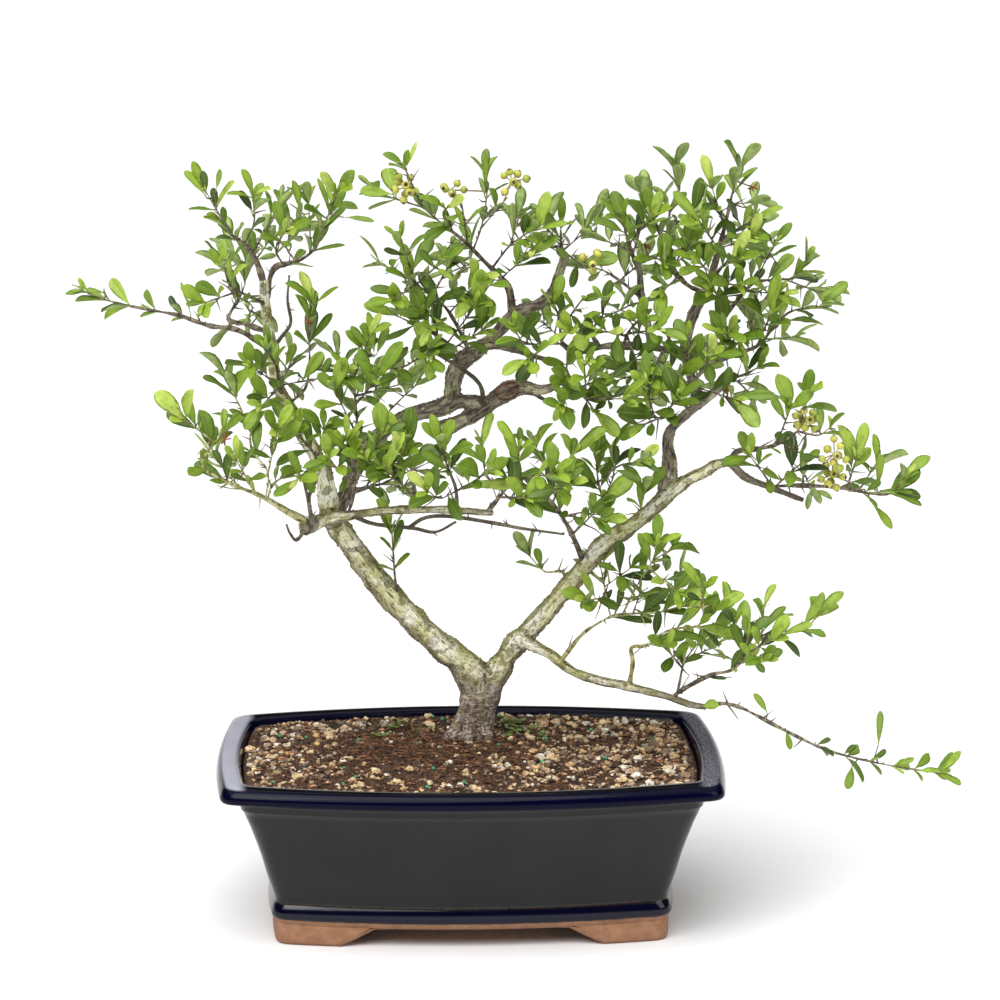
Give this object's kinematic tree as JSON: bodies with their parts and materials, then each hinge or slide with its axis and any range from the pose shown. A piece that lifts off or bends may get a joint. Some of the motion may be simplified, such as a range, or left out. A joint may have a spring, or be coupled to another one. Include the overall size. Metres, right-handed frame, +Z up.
{
  "type": "firethorn bonsai tree in a pot",
  "caption": "Forked bonsai tree with leafy sprays and small round berries, planted in a bowed rectangular footed pot.",
  "frame": {"origin": "on the ground under the middle of the whole planting's box", "axes": "+X along the pot's long side to the right, +Y to the back, +Z up"},
  "size_m": [0.5598, 0.2314, 0.489],
  "materials": {
    "glaze": "gloss",
    "soil": "rough",
    "screen": "matte",
    "bark": "matte",
    "leaf": "satin",
    "berry": "satin"
  },
  "bodies": {
    "root": {"pot": "glaze", "soil": "soil", "drain_screen_left": "screen", "drain_screen_right": "screen", "trunk": "bark", "spray_top_left": "leaf", "spray_top_left_inner": "leaf", "spray_left_middle": "leaf", "spray_left_rear": "leaf", "spray_far_left": "leaf", "spray_trunk_tuft": "leaf", "spray_trunk_upright": "leaf", "spray_left_low": "leaf", "spray_elbow": "leaf", "spray_dark": "leaf", "spray_band_left": "leaf", "spray_band_middle": "leaf", "spray_band_front": "leaf", "spray_band_end": "leaf", "spray_hanging_shoot": "leaf", "spray_rear_band": "leaf", "spray_centre": "leaf", "spray_trunk_inner": "leaf", "spray_trunk_bend": "leaf", "spray_trunk_side": "leaf", "spray_crown_left": "leaf", "spray_crown_fork": "leaf", "spray_top_middle": "leaf", "spray_top_fork": "leaf", "spray_cross_end": "leaf", "spray_cross_middle": "leaf", "spray_cross_right": "leaf", "spray_scar_end": "leaf", "spray_inner_top": "leaf", "spray_inner_side": "leaf", "spray_apex": "leaf", "spray_crown_top": "leaf", "spray_crown_front": "leaf", "spray_crown_right": "leaf", "spray_right_arch": "leaf", "spray_limb_tip": "leaf", "spray_limb_front": "leaf", "spray_limb_left": "leaf", "spray_limb_rear": "leaf", "spray_cross_tip": "leaf", "spray_right_upper": "leaf", "spray_right_lower": "leaf", "spray_low_inner": "leaf", "spray_low_loop": "leaf", "spray_low_middle": "leaf", "spray_low_thicket": "leaf", "spray_trailing": "leaf", "berries_top_left": "berry", "berries_top_middle": "berry", "berries_top_right": "berry", "berries_fork": "berry", "berries_right_top": "berry", "berries_right_middle": "berry", "berries_right_low": "berry"}
  },
  "joints": []
}
